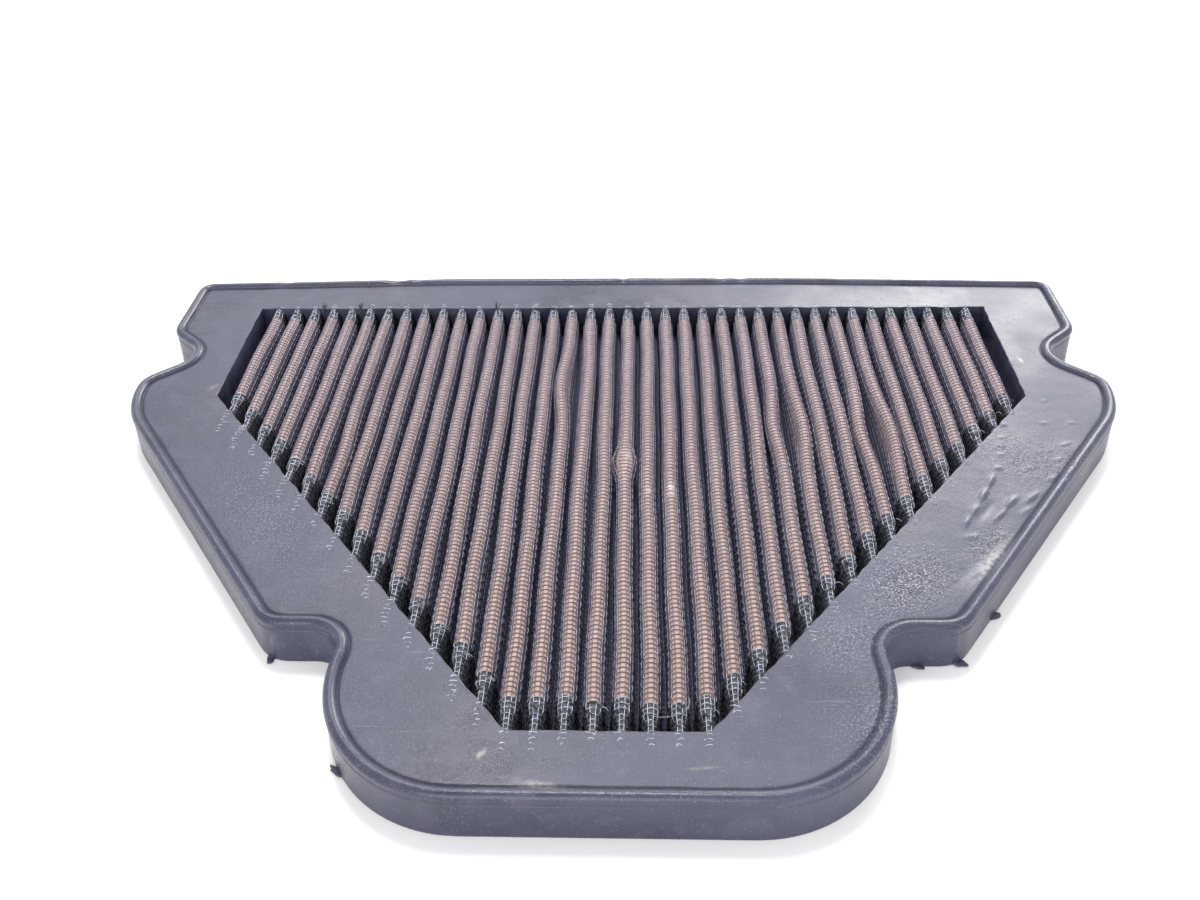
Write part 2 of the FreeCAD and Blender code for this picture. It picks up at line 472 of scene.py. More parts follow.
casting = wrapped_grid("moulded_frame_casting", rings, {
    "crease": range(crease_start, crease_start + 6),
    "inner_wall": range(land_end + 2, under_start - 1),
    "bead": range(len(outside) + 5, crease_start - 2)})
bpy.ops.object.shade_smooth_by_angle(angle=math.radians(40))
print("casting", len(casting.data.vertices), "points")

# %% [markdown]
# ## The used surface of the casting
# Poured polyurethane isn't flat: the land sags and swells a little, on the right diagonal the
# skin has blistered, and the bead has flaws along the rear edge. These shapes are real relief, so
# the points of the land and the bead are moved straight up or down. Rubbed and pebbled places
# are only marked here, for the material.

# %% Relief of the land
def swell(x, y, place, half, turn=0.0):
    """A soft oval hill, 1 at its middle and 0 outside; place and half in mm, turn in degrees."""
    c, s = math.cos(math.radians(turn)), math.sin(math.radians(turn))
    u = ((x - place[0]) * c + (y - place[1]) * s) / half[0]
    v = (-(x - place[0]) * s + (y - place[1]) * c) / half[1]
    return smooth(1 - np.hypot(u, v))


# Blisters along the right diagonal: place, half length and width in mm, turn, height.
BLISTER_SCALE = 1.1
BLISTERS = [
    ((92.5, -21.5), (3.6, 0.9), 60, 0.55), ((95.5, -17), (4.6, 1.0), 58, 0.5),
    ((99.5, -10.5), (5.2, 1.1), 60, 0.6), ((103, -4.5), (4.6, 1.0), 62, 0.5),
    ((99, -17), (7, 1.8), 55, -0.3), ((101.5, -19), (5.6, 0.9), 46, 0.5),
    ((106, -13.5), (5.2, 1.0), 48, 0.65), ((112, -11.5), (5.2, 0.9), 43, 0.5),
    ((109, -17), (4, 0.8), 38, 0.3), ((93, -27), (3.2, 1.0), 12, 0.45), ((97.5, -28.5), (3.2, 0.9), 25, 0.4),
    ((101, -26), (2.4, 0.8), 25, 0.3), ((106.5, 1), (1.6, 1.2), 50, 0.4), ((108.5, 7), (1.3, 1.1), 0, 0.3),
    ((109.5, 11), (1.2, 1.0), 0, 0.3), ((111, 15), (1.2, 1.0), 0, 0.3), ((113, 21), (1.3, 1.1), 0, 0.3),
    ((116, 27), (1.6, 1.0), 0, 0.25), ((115, 1), (3.2, 0.8), 20, 0.3), ((121, -3), (5.5, 0.8), 25, 0.3),
    ((123, -6), (5.0, 0.8), 25, 0.25), ((124, 5), (3.0, 0.8), 30, 0.25), ((128, 12), (3.0, 0.8), 20, 0.25),
    ((125, 22), (2.0, 0.7), 0, 0.2), ((133, 22), (2.0, 0.7), 0, 0.2), ((128, 33), (1.3, 0.8), 30, 0.2),
    ((88, -43), (10, 2.0), 52, 0.2),
]

REAR_BEAD = 95                  # beyond this y, in mm, the bead belongs to the rear edge

# Flaws of the bead along the rear edge: x, half length in mm and lift.
BEAD_FLAWS = [(-92, 2.0, 0.0), (-79, 5.0, -0.45), (-71, 3.0, -0.2), (1.5, 2.0, -0.4), (36, 3.0, -0.2),
              (43, 3.0, -0.25), (78, 4.0, -0.15), (-118, 3.0, -0.2)]

# Marks that only the material shows: place, half length and width in mm, turn, strength.
RUBBED = [((95, -36.5), (18, 3.0), 50, 0.75), ((-14, -103.4), (8, 1.9), -8, 0.55),
          ((-26.5, -95.5), (2.3, 0.8), 55, 0.9), ((20, -98.6), (5, 0.5), 5, 0.3),
          ((127, 55), (1.1, 3.4), 10, 0.8), ((-126, 40), (1.4, 3.4), -30, 0.3)]
PEBBLED = [((73, -43), (21, 14), 50, 1.0), ((96, -30), (14, 6), 50, 0.8), ((118, 5), (18, 26), 60, 0.4),
           ((56, -62), (16, 12), 50, 0.5), ((-95, -20), (40, 16), -52, 0.3), ((60, -85), (26, 14), 60, 0.3)]


def land_lift(x, y):
    """How far the land sags or swells at x, y, all in mm."""
    here = Vector((x, y, 0))
    return 0.12 * noise.noise(here / 17) + 0.06 * noise.noise(here / 6 + Vector((7, 0, 0)))


points = points_of(casting)
x, y = points[:, 0] / MM, points[:, 1] / MM
on_land = (points[:, 2] > LAND - 0.02 * MM) & (points[:, 2] < LAND + 0.02 * MM)
lift = np.zeros(len(points))
for place, half, turn, height in BLISTERS:
    lift += BLISTER_SCALE * height * swell(x, y, place, half, turn)
store(casting, "blister", np.clip(4 * np.abs(lift), 0, 1) * on_land)
for name, marks in (("rubbed", RUBBED), ("pebbled", PEBBLED)):
    amount = sum(strength * swell(x, y, place, half, turn) for place, half, turn, strength in marks)
    store(casting, name, amount * (points[:, 2] > LAND - 1 * MM))
for i in np.flatnonzero(on_land):
    lift[i] += land_lift(x[i], y[i])
points[:, 2] += np.where(on_land, lift, 0) * MM
bead = np.array([v.value for v in casting.data.attributes["bead"].data])
flaw = sum(depth * smooth(1 - np.abs(x - place) / half) for place, half, depth in BEAD_FLAWS)
wave = np.array([noise.noise(Vector((a / 14, b / 14, 3))) for a, b in zip(x, y)])
points[:, 2] += bead * np.minimum(np.where(y > REAR_BEAD, flaw, 0) + 0.12 * (wave - 0.5), 0) * MM
move_points(casting, points)
print("land relief, mm: %.2f to %.2f" % (lift[on_land].min(), lift[on_land].max()))

# %% [markdown]
# ## Polyurethane
# The casting is dark slate polyurethane with a satin skin. Handling has polished it in patches,
# dust sits on it, and fine scratches cross it. Noise of several sizes varies its colour and gloss,
# the marks kept on the points say where the crease, the blisters and the rubbed places are, and
# a fine grain and the pebbled places give the bump. Light and shade are painted into the colour
# too: painted shade in the crease and down the opening's inner wall, painted light on the
# blisters, and painted glints with the dust on the pebbled places.

# %% Polyurethane material
polyurethane, tree, shader, node = new_material("moulded_polyurethane")
place = node("TexCoord").outputs["Object"]
cloud = noise_at(node, place, 24.0, 5.0)
blotch = noise_at(node, place, 120.0, 5.0)
grain = noise_at(node, place, 2600.0, 3.0)
speck = noise_at(node, place, 1900.0, 2.0)
pebbles = noise_at(node, place, 900.0, 2.0, 0.5)
shade = ramp(node, cloud, (0.35, 0.0), (0.68, 1.0))
base = mixed(node, shade, (0.0255, 0.0275, 0.054), (0.050, 0.053, 0.093))
scratch_place = node("Mapping", Vector=place, Rotation=(0, 0, 0.6), Scale=(60, 900, 60)).outputs[0]
# painted glints with dust: bright specks painted on the pebbled places
painted_glints_and_dust = math_node(node, "MULTIPLY", attribute(node, "pebbled"), ramp(node, speck, (0.54, 0.0), (0.64, 0.8)))
streaks = ramp(node, noise_at(node, place, 900.0, 3.0), (0.32, 0.2), (0.6, 1.0))
base = layered(
    node, base,
    (ramp(node, blotch, (0.5, 0.0), (0.72, 0.5)), (0.081, 0.082, 0.126)),
    (ramp(node, speck, (0.60, 0.0), (0.72, 0.4)), (0.22, 0.22, 0.25)),                # dust
    (ramp(node, noise_at(node, scratch_place, 1.0, 3.0), (0.66, 0.0), (0.72, 0.35)), (0.16, 0.165, 0.19)),
    # painted light: the blisters are lightened so that their shaded sides don't turn dark
    (attribute(node, "blister", 0.45), (0.13, 0.137, 0.17)),
    (painted_glints_and_dust, (0.42, 0.42, 0.45)),
    (math_node(node, "MULTIPLY", attribute(node, "rubbed", 0.8), streaks), (0.52, 0.52, 0.52)),
    # painted shade: the crease where the bead meets the land is darkened
    (attribute(node, "crease", 0.35), (0.012, 0.013, 0.024)),
    # painted shade: the opening's inner wall is darkened, as it lies down in shade
    (attribute(node, "inner_wall", 0.15), (0.010, 0.010, 0.018)))
tree.links.new(base, shader.inputs["Base Color"])
gloss = layered(
    node, ramp(node, cloud, (0.36, 0.22), (0.66, 0.46)),
    (ramp(node, blotch, (0.45, 0.0), (0.8, 0.6)), (0.5, 0.5, 0.5)),
    (attribute(node, "bead", 0.75), (0.17, 0.17, 0.17)),
    (attribute(node, "blister", 0.7), (0.22, 0.22, 0.22)))
tree.links.new(gloss, shader.inputs["Roughness"])
relief = math_node(node, "ADD", grain, math_node(node, "MULTIPLY", blotch, 2.5))
fine = node("Bump", Strength=0.45, Distance=0.00016, Height=relief)
pocks = math_node(node, "MAXIMUM", math_node(node, "SUBTRACT", pebbles, 0.5), 0.0)
pocks = math_node(node, "MULTIPLY", pocks, attribute(node, "pebbled"))
bump = node("Bump", Strength=1.0, Distance=0.0014, Height=pocks, Normal=fine.outputs[0])
tree.links.new(bump.outputs[0], shader.inputs["Normal"])
shader.inputs["IOR"].default_value = 1.5
fit(casting, "moulded_polyurethane", polyurethane, "moulded_frame")

# %% [markdown]
# ## How the used pack differs from a perfect one
# Every wire and every ply goes through one function, so that they move together. It bends the
# crests that were knocked, swells one crest, lets each pleat wander a little, and lets the
# flanks stand out in a skirt just below the crests. It also pinches the ends, where the resin of
# the frame holds them narrower, a little lower in front and a little higher at the rear.
# Other functions say how black with resin, how far out and how scuffed each point is.

# %% Settle the pack
rng = np.random.default_rng(7)
NECK_DROP = 0.45 * MM           # how far the front ends dip; the rear ends rise a little more
NECK_RISE = 1.1                 # the rear ends' rise, as a share of that
NECK_PINCH = 0.27               # how much narrower than the folds the ends are
REAR_PINCH = 0.9                # the rear ends' share of that
NECK_STEP = 0.9 * MM            # the length over which an end narrows
SETTLED = 30 * MM               # how far from its ends a crest begins to wander freely
PUFFED = 1.04                   # how much wider than the perfect folds the crests have become
SKIRT = 0.32                    # and how much more the flanks stand out just below them
neck_front = rng.uniform(4.8, 6.2, PLEATS + 1) * MM
neck_rear = rng.uniform(1.8, 2.8, PLEATS + 1) * MM
black_front = neck_front + rng.uniform(3.2, 5.2, PLEATS + 1) * MM
black_rear = neck_rear + rng.uniform(2.0, 3.6, PLEATS + 1) * MM
wander = rng.uniform(0, 2 * math.pi, (PLEATS + 1, 3))

# Knocked crests: pleat, place along it, half length and shift of the crest, all in mm.
KNOCKS = [(-2.5, 44, 26, -1.7), (-1.5, 40, 34, 0.3), (7.5, 24, 22, -1.1), (8.5, 23, 26, 1.8),
          (11.5, 20, 20, -1.0), (12.5, 20, 26, 1.8), (9.5, 22, 26, 0.4), (-12.5, 10, 24, 0.4)]
BULGE = (0.5, 6.0, 9.0, 0.75)          # pleat, place, half length in mm, share of extra width


def front_limit(x, grow=0.0):
    """Where the opening's front or diagonal edge lies at x, moved outwards by grow."""
    diagonal = front_y + diagonal_slope * (np.abs(x) - foot_x) - grow * diagonal_tilt
    return np.maximum(front_y - grow, diagonal)


def crest_of(x, upper):
    """The number and the centre of the crest that each point belongs to, on either face."""
    if upper:
        k = np.clip(np.floor(x / PITCH + PLEATS / 2), 0, PLEATS - 1).astype(int)
        return k, (k + 0.5 - PLEATS / 2) * PITCH
    k = np.clip(np.round(x / PITCH + PLEATS / 2), 0, PLEATS).astype(int)
    return k, (k - PLEATS / 2) * PITCH


def struck(k, y, pleat, place, reach):
    """1 at a place along one crest of the upper face, fading out over its reach, in mm."""
    return (k == int(pleat + PLEATS / 2 - 0.5)) * np.exp(-((y / MM - place) / (0.6 * reach)) ** 2)


def soaked(x, y, upper):
    """How far each point is from the black of the resin, in mm: above 0 it is inside it."""
    k, centre = crest_of(x, upper)
    into_front = y - front_limit(centre)
    into_rear = rear_y - y
    return np.maximum(black_front[k] - into_front, black_rear[k] - into_rear) / MM


def outerness(z, upper):
    """How far out on its fold each point is: 0 where the flank ends and about 1 on the crest."""
    out = (z - middle) / (rise / 2) * (1 if upper else -1)
    return (out - 1) / 0.36


def bared(x, y, upper):
    """How far a knock has bent each crest over; added to the outer mark, it lifts the painted fold shade off
    the flank that now faces the light.
    """
    k, centre = crest_of(x, upper)
    total = np.zeros(len(x))
    if upper:
        for pleat, place, reach, push in KNOCKS:
            total += abs(push) * struck(k, y, pleat, place, reach)
    return total


# Crests that something has rubbed: place, half length and half width, all in mm.
SCUFFS = [((9.6, -8.0), (0.9, 1.6)), ((15.9, -6.8), (1.5, 0.9)), ((15.9, -9.6), (1.7, 0.7)),
          ((22.3, -19.5), (1.8, 0.7)), ((3.6, 7.0), (0.8, 2.6))]


def scuffed(x, y, z):
    """How far each point is rubbed pale, from 0 to 1."""
    total = sum(swell(x / MM, y / MM, place, half) for place, half in SCUFFS)
    return np.minimum(2.2 * total, 1) * (z > high_fold)


def settle(points, standing_off=0.0):
    """Move points of the perfect pack to where they lie in the used one."""
    x, y, z = points.T.copy()
    for face in (True, False):
        k, centre = crest_of(x, face)
        into_front = y - front_limit(centre)
        into_rear = rear_y - y
        sign = 1 if face else -1
        toward = smooth(sign * (z - middle) / (rise / 2))
        at_front = smooth((neck_front[k] - into_front) / NECK_STEP + 0.5)
        at_rear = smooth((neck_rear[k] - into_rear) / NECK_STEP + 0.5)
        span = smooth(into_front / SETTLED) * smooth(into_rear / SETTLED)
        a, b, c = wander[k].T
        sway = 0.12 * np.sin(y / (7 * MM) + a) + 0.2 * np.sin(y / (23 * MM) + b)
        shift = span * sway * MM
        height = span * (0.25 + 0.1 * np.sin(y / (31 * MM) + c)) * MM
        below = sign * ((high_fold if face else low_fold) - z) / MM
        skirt = smooth(below / 1.4) * smooth((3.6 - below) / 1.8)
        width = PUFFED + SKIRT * skirt - NECK_PINCH * np.maximum(at_front, REAR_PINCH * at_rear)
        if face:
            for pleat, place, reach, push in KNOCKS:
                shift += push * MM * struck(k, y, pleat, place, reach)
            pleat, place, reach, extra = BULGE
            swelling = struck(k, y, pleat, place, reach)
            width += (extra + standing_off * (x < centre)) * swelling
            height += 0.35 * swelling * MM
        lean_over = smooth(sign * (z - (middle - sign * rise / 2)) / rise)
        x = np.where(toward > 0, centre + (x - centre) * (1 + (width - 1) * toward), x)
        x += shift * lean_over
        z += sign * toward * (height + NECK_DROP * (NECK_RISE * at_rear - at_front))
    return np.column_stack([x, y, z])


print("black ends from %.1f to %.1f mm long" % (black_rear.min() / MM, black_front.max() / MM))


# %% The section of a folded layer
def fold_section(shift, along):
    """Place on one pleat's section at lengths along it from valley to valley, and its normal."""
    valley = FOLD_RADIUS - shift
    crest = FOLD_RADIUS + shift
    turn = math.pi / 2 - lean
    ends = np.cumsum([valley * turn, flank, 2 * crest * turn, flank])
    total = 2 * (valley * turn + flank + crest * turn)
    mirrored = along > total / 2
    t = np.where(mirrored, total - along, along)
    in_valley = t < ends[0]
    in_flank = (t >= ends[0]) & (t < ends[1])
    angle = np.where(in_valley, -math.pi / 2 + t / valley, math.pi - lean - (t - ends[1]) / crest)
    x = np.where(in_valley, -PITCH / 2 + valley * np.cos(angle), crest * np.cos(angle))
    z = np.where(in_valley, low_fold + valley * np.sin(angle), high_fold + crest * np.sin(angle))
    nx = np.where(in_valley, -np.cos(angle), np.cos(angle))
    nz = np.where(in_valley, -np.sin(angle), np.sin(angle))
    start = np.array([-PITCH / 2 + valley * math.cos(lean), low_fold - valley * math.sin(lean)])
    up = np.array([math.sin(lean), math.cos(lean)])
    x = np.where(in_flank, start[0] + up[0] * (t - ends[0]), x)
    z = np.where(in_flank, start[1] + up[1] * (t - ends[0]), z)
    nx = np.where(in_flank, -math.cos(lean), nx)
    nz = np.where(in_flank, math.sin(lean), nz)
    flip = np.where(mirrored, -1, 1)
    return flip * x, z, flip * nx, nz


# A layer above the middle turns wide over the crests and tight in the valleys, so all are as long.
pleat_length = 4 * FOLD_RADIUS * (math.pi / 2 - lean) + 2 * flank
TAIL = 4.2 * MM                # the flat part of a sheet beyond its first and last pleats


def whole_section(shift, marks):
    """The section across all the pleats, with a flat tail at each side, and its normals."""
    x, z, nx, nz = fold_section(shift, marks)
    starts = (np.arange(PLEATS) + 0.5 - PLEATS / 2) * PITCH
    x = (starts[:, None] + x[None, :]).ravel()
    z, nx, nz = (np.tile(v, PLEATS) for v in (z, nx, nz))
    tail = PLEATS / 2 * PITCH
    ends = np.array([1.2, 2.6, TAIL / MM]) * MM
    flat = low_fold - (FOLD_RADIUS - shift)
    x = np.concatenate([-tail - ends[::-1], x, tail + ends])
    z = np.concatenate([[flat] * 3, z, [flat] * 3])
    nx = np.concatenate([[0] * 3, nx, [0] * 3])
    nz = np.concatenate([[1] * 3, nz, [1] * 3])
    return x, z, nx, nz


print("sheet per pleat %.2f mm" % (pleat_length / MM))

# %% [markdown]
# ## Gauze plies
# Each ply is one flat cut of oiled cotton gauze, folded with the rest of the pack. It is a grid
# whose columns follow the folded section and whose rows run from the front of the opening to the
# rear, closer together at the ends, where the resin pinches the pleats. The flat cut's own
# coordinates become the UV map, so that the weave follows the cloth round the folds. A cloth
# simulation isn't used: pressed pleats hold their folds, so the folds are laid out as they are.

# %% Lay out one ply
POTTED = 6.5 * MM               # how far the modelled cloth goes on into the casting
CUT_TAILS = 7.2 * MM            # both tails of the flat cut together
FLAT_WIDTH = PLEATS * pleat_length + CUT_TAILS
ROW_PITCH = 1.45 * MM           # from one crosswise wire of the screens to the next
WIRE_REACH = 2.5 * MM           # how far the wires go on into the casting


def fold_marks(shift, in_valley, in_flank, in_crest):
    """Lengths along one pleat, with so many steps in each part of it."""
    turn = math.pi / 2 - lean
    valley, crest = (FOLD_RADIUS - shift) * turn, (FOLD_RADIUS + shift) * turn
    parts = [(valley, in_valley), (flank, in_flank), (2 * crest, in_crest), (flank, in_flank),
             (valley, in_valley)]
    marks, start = [], 0.0
    for length, steps in parts:
        marks += [start + length * i / steps for i in range(steps)]
        start += length
    return np.array(marks)


def end_rows(fine):
    """Distances from the end of a pleat, close together where the resin pinches it."""
    close = [-POTTED / MM, -1, 0.4, 1.6, 2.6, 3.3, 4, 4.7, 5.4, 6.2, 7.4, 9, 11.5, 15]
    return np.array(close if fine else close[::3]) * MM


def make_ply(name, shift, marks, middle_rows, fine=True):
    """One ply of gauze, folded, with its flat coordinates and the reach of the resin."""
    x, z, nx, nz = whole_section(shift, marks)
    front = front_limit(x)
    ends = end_rows(fine)
    between = np.linspace(0, 1, middle_rows + 2)[1:-1, None]
    first, last = front + ends[-1], np.full(len(x), rear_y - ends[-1])
    y = np.vstack([front + ends[:, None], first + (last - first) * between,
                   rear_y - ends[::-1, None] + 0 * x])
    rows, columns = y.shape
    points = np.stack([np.broadcast_to(x, y.shape), y, np.broadcast_to(z, y.shape)], axis=2)
    points = points.reshape(-1, 3)
    pick()
    bpy.ops.mesh.primitive_grid_add(x_subdivisions=columns - 1, y_subdivisions=rows - 1, size=1)
    ply = bpy.context.object
    ply.name = name
    face_up = shift > 0
    store(ply, "resin", soaked(points[:, 0], points[:, 1], face_up))
    store(ply, "scuff", scuffed(*points.T))
    store(ply, "outer", outerness(points[:, 2], face_up) + bared(points[:, 0], points[:, 1], face_up))
    run = np.concatenate([[0], np.cumsum(np.hypot(np.diff(x), np.diff(z)))])
    across = np.tile(run, rows)
    flat = np.column_stack([across, points[:, 1]]) / FLAT_WIDTH
    loops = np.empty(len(ply.data.loops), dtype=int)
    ply.data.loops.foreach_get("vertex_index", loops)
    ply.data.uv_layers[0].name = "flat_cut"
    ply.data.uv_layers[0].data.foreach_set("uv", flat[loops].ravel())
    move_points(ply, settle(points))
    pick(ply)
    bpy.ops.object.shade_smooth()
    return ply


# %% [markdown]
# ## Oiled gauze
# The cotton is brown with the dust it has caught, rosier to the rear. Its threads are two sets of
# waves along and across the flat cut, and along the screen's crosswise wires it is painted darker,
# shade where the cloth dips between them. It is painted darker and bluish down in the folds, where
# shade falls. Where the resin has soaked the ends it is black.

# %% Gauze material
gauze, tree, shader, node = new_material("oiled_gauze")
flat = node("UVMap")
flat.uv_map = "flat_cut"
cut = node("VectorMath", **{"0": flat.outputs[0]})
cut.operation = "SCALE"
cut.inputs["Scale"].default_value = FLAT_WIDTH / MM       # so that one unit is a millimetre
place = node("TexCoord").outputs["Object"]
across = node("SeparateXYZ", Vector=cut.outputs[0])
THREAD = 0.42                                            # millimetres between threads
CREST_WIRE = 0.6                    # millimetres from the crest's middle to the wires beside it
weave = math_node(node, "MAXIMUM", *(ripple(node, across.outputs[i], THREAD) for i in (0, 1)))
fuzz = noise_at(node, cut.outputs[0], 3.0, 4.0)
stain = noise_at(node, place, 38.0, 4.0)
rear = from_front(node, place)
rows_along = math_node(node, "SUBTRACT", node("SeparateXYZ", Vector=place).outputs[1], front_y - WIRE_REACH)
ring = ripple(node, rows_along, ROW_PITCH)
length_on = math_node(node, "SUBTRACT", across.outputs[0], TAIL / MM)
on_pleat = math_node(node, "FRACT", math_node(node, "DIVIDE", length_on, pleat_length / MM))
from_crest = math_node(node, "MULTIPLY", math_node(node, "SUBTRACT", on_pleat, 0.5), pleat_length / MM)
from_crest = math_node(node, "ABSOLUTE", from_crest)
from_wire = math_node(node, "ABSOLUTE", math_node(node, "SUBTRACT", from_crest, CREST_WIRE))
outer = attribute(node, "outer")
depth = math_node(node, "MULTIPLY", math_node(node, "ADD", outer, 1.6), 0.5)
# painted shade: the gauze turns darker and bluish down the flanks towards the valleys
painted_fold_shade = ramp(node, depth, (0.1, (0.045, 0.043, 0.09)), (0.6, (0.15, 0.12, 0.155)),
             (0.95, (0.30, 0.235, 0.235)))
clump = noise_at(node, place, 430.0, 2.0)
pale = math_node(node, "MULTIPLY", attribute(node, "scuff"), ramp(node, fuzz, (0.3, 0.2), (0.6, 0.9)))
brown = layered(
    node, mixed(node, rear, (0.64, 0.46, 0.39), (0.60, 0.49, 0.54)),
    (ramp(node, stain, (0.4, 0.0), (0.75, 0.5)), (0.42, 0.32, 0.28)),
    (ramp(node, fuzz, (0.35, 0.5), (0.7, 0.0)), (0.36, 0.26, 0.21)),
    (ramp(node, weave, (0.3, 0.5), (0.95, 0.0)), (0.25, 0.18, 0.16)),
    # painted shade along each crosswise wire, where the cloth dips between its bulges
    (ramp(node, ring, (0.72, 0.0), (0.97, 0.7)), (0.17, 0.12, 0.125)),
    (ramp(node, from_wire, (0.04, 0.65), (0.24, 0.0)), (0.20, 0.145, 0.145)),
    (ramp(node, clump, (0.40, 0.4), (0.56, 0.0)), (0.29, 0.215, 0.19)),
    (ramp(node, outer, (0.02, 1.0), (0.42, 0.0)), painted_fold_shade),
    (pale, (0.72, 0.66, 0.62)))
fray = math_node(node, "MULTIPLY", math_node(node, "SUBTRACT", fuzz, 0.5), 1.6)
ragged = math_node(node, "ADD", attribute(node, "resin"), fray)
black = ramp(node, math_node(node, "ADD", ragged, 0.5), (0.35, 0.0), (0.6, 1.0))
tree.links.new(mixed(node, black, brown, (0.026, 0.029, 0.046)), shader.inputs["Base Color"])
tree.links.new(mixed(node, black, (0.75, 0.75, 0.75), (0.3, 0.3, 0.3)), shader.inputs["Roughness"])
shader.inputs["Sheen Weight"].default_value = 0.25
shader.inputs["Sheen Roughness"].default_value = 0.4
bump = node("Bump", Strength=0.6, Distance=0.00012, Height=math_node(node, "ADD", weave, fuzz))
tree.links.new(bump.outputs[0], shader.inputs["Normal"])

# %% Fold the four plies
SHIFTS = {"gauze_ply_1": -0.42, "gauze_ply_2": -0.12, "gauze_ply_3": 0.12, "gauze_ply_4": 0.42}
for name, shift in SHIFTS.items():
    shift *= MM
    outer_ply = abs(shift) > 0.2 * MM
    steps = (3, 3, 5) if outer_ply else (2, 2, 4)
    marks = fold_marks(shift, *steps)
    ply = make_ply(name + "_cloth", shift, marks, 36 if outer_ply else 20, outer_ply)
    fit(ply, "oiled_gauze", gauze, name)

# %% [markdown]
# ## Woven wire screens
# A screen is a plain weave: every wire goes over one crosswise wire and under the next. Each wire
# is a line of points that steps up and down at each crossing, swept with a three-cornered bevel,
# because there are tens of thousands of crossings and each gets only a few faces. The deep part
# of a fold is hardly seen, so there the wires run straight.

# %% Sweep wires
WIRE_RADIUS = 0.14 * MM
WEAVE = 0.075 * MM              # how far a wire steps up or down at a crossing
WIRES_PER_PLEAT = 16

bpy.ops.mesh.primitive_circle_add(vertices=3, radius=WIRE_RADIUS)
wire_bevel = bpy.context.object
bpy.ops.object.convert(target="CURVE")


def sweep(name, strands):
    """Sweep the three-cornered bevel along strands of points, as one mesh."""
    data = bpy.data.curves.new(name, "CURVE")
    data.dimensions = "3D"
    data.bevel_mode = "OBJECT"
    data.bevel_object = wire_bevel
    data.use_fill_caps = True
    for strand in strands:
        spline = data.splines.new("POLY")
        spline.points.add(len(strand) - 1)
        spline.points.foreach_set("co", np.column_stack([strand, np.ones(len(strand))]).ravel())
    piece = bpy.data.objects.new(name, data)
    bpy.context.scene.collection.objects.link(piece)
    pick(piece)
    bpy.ops.object.convert(target="MESH")
    piece = bpy.context.object
    bpy.ops.object.shade_smooth()
    return piece


# %% Where the wires of one screen run
def row_places():
    count = int((rear_y - front_y + 2 * WIRE_REACH) / ROW_PITCH)
    return front_y - WIRE_REACH + ROW_PITCH * (np.arange(count) + 0.5)


def screen_strands(face_up):
    """Crosswise and lengthwise strands of one screen, before the pack settles."""
    shift = SCREEN_SHIFT if face_up else -SCREEN_SHIFT
    spacing = pleat_length / WIRES_PER_PLEAT
    marks = (np.arange(2 * WIRES_PER_PLEAT) + 1) * spacing / 2
    order = np.arange(2 * WIRES_PER_PLEAT)               # even ones are crossings
    z = fold_section(shift, marks)[1]
    depth = (z - low_fold) / rise if face_up else (high_fold - z) / rise
    on_crest = depth > 0.98
    woven = depth > 0.45
    keep = np.where(on_crest, True, np.where(woven, order % 2 == 0, order % 4 == 0))
    lifts = np.where((order % 2 == 0) & woven, np.where(order // 2 % 2 == 0, 1, -1), 0)
    x, z, nx, nz = whole_section(shift, marks[keep])
    lift = np.concatenate([[0] * 3, np.tile(lifts[keep], PLEATS), [0] * 3]) * WEAVE
    rows = row_places()
    crosswise = []
    for i, y in enumerate(rows):
        limit = foot_x + (y - front_y + WIRE_REACH * diagonal_tilt) / diagonal_slope
        inside = np.abs(x) < min(max(limit, 0), side_x + WIRE_REACH * 0.5)
        if inside.sum() < 8:
            continue
        side = lift[inside] * (1 if i % 2 == 0 else -1)
        crosswise.append(np.column_stack([x[inside] + side * nx[inside], np.full(inside.sum(), y),
                                          z[inside] + side * nz[inside]]))
    lengthwise = []
    crossing = order % 2 == 0
    x, z, nx, nz = fold_section(shift, marks[crossing])
    for pleat in range(PLEATS):
        centre = (pleat + 0.5 - PLEATS / 2) * PITCH
        for j in range(WIRES_PER_PLEAT):
            front = front_limit(centre + x[j], WIRE_REACH)
            chosen = rows[rows > front - ROW_PITCH / 2]
            first = len(rows) - len(chosen)
            if woven[crossing][j]:
                side = np.where((first + np.arange(len(chosen)) + j) % 2 == 0, -WEAVE, WEAVE)
            else:
                chosen = chosen[::4]
                side = np.zeros(len(chosen))
            lengthwise.append(np.column_stack([centre + x[j] + side * nx[j], chosen,
                                               z[j] + side * nz[j]]))
    return crosswise, lengthwise


def parts_of(strands, most):
    """Split strands into runs of about equal size, each of about so many points or fewer."""
    total = sum(len(strand) for strand in strands)
    count = math.ceil(total / most)
    parts, size = [[]], 0
    for strand in strands:
        if size > total * len(parts) / count:
            parts.append([])
        parts[-1].append(strand)
        size += len(strand)
    return parts


# %% [markdown]
# ## Lacquered wire
# The wires are coated metal, pale on the crests, with painted sheen in that pale colour, and painted
# a shaded bluish lower down in the folds, with dirt in places. At the ends of the pleats the casting's
# resin has run over them: they are black there, with glints painted into the colour.

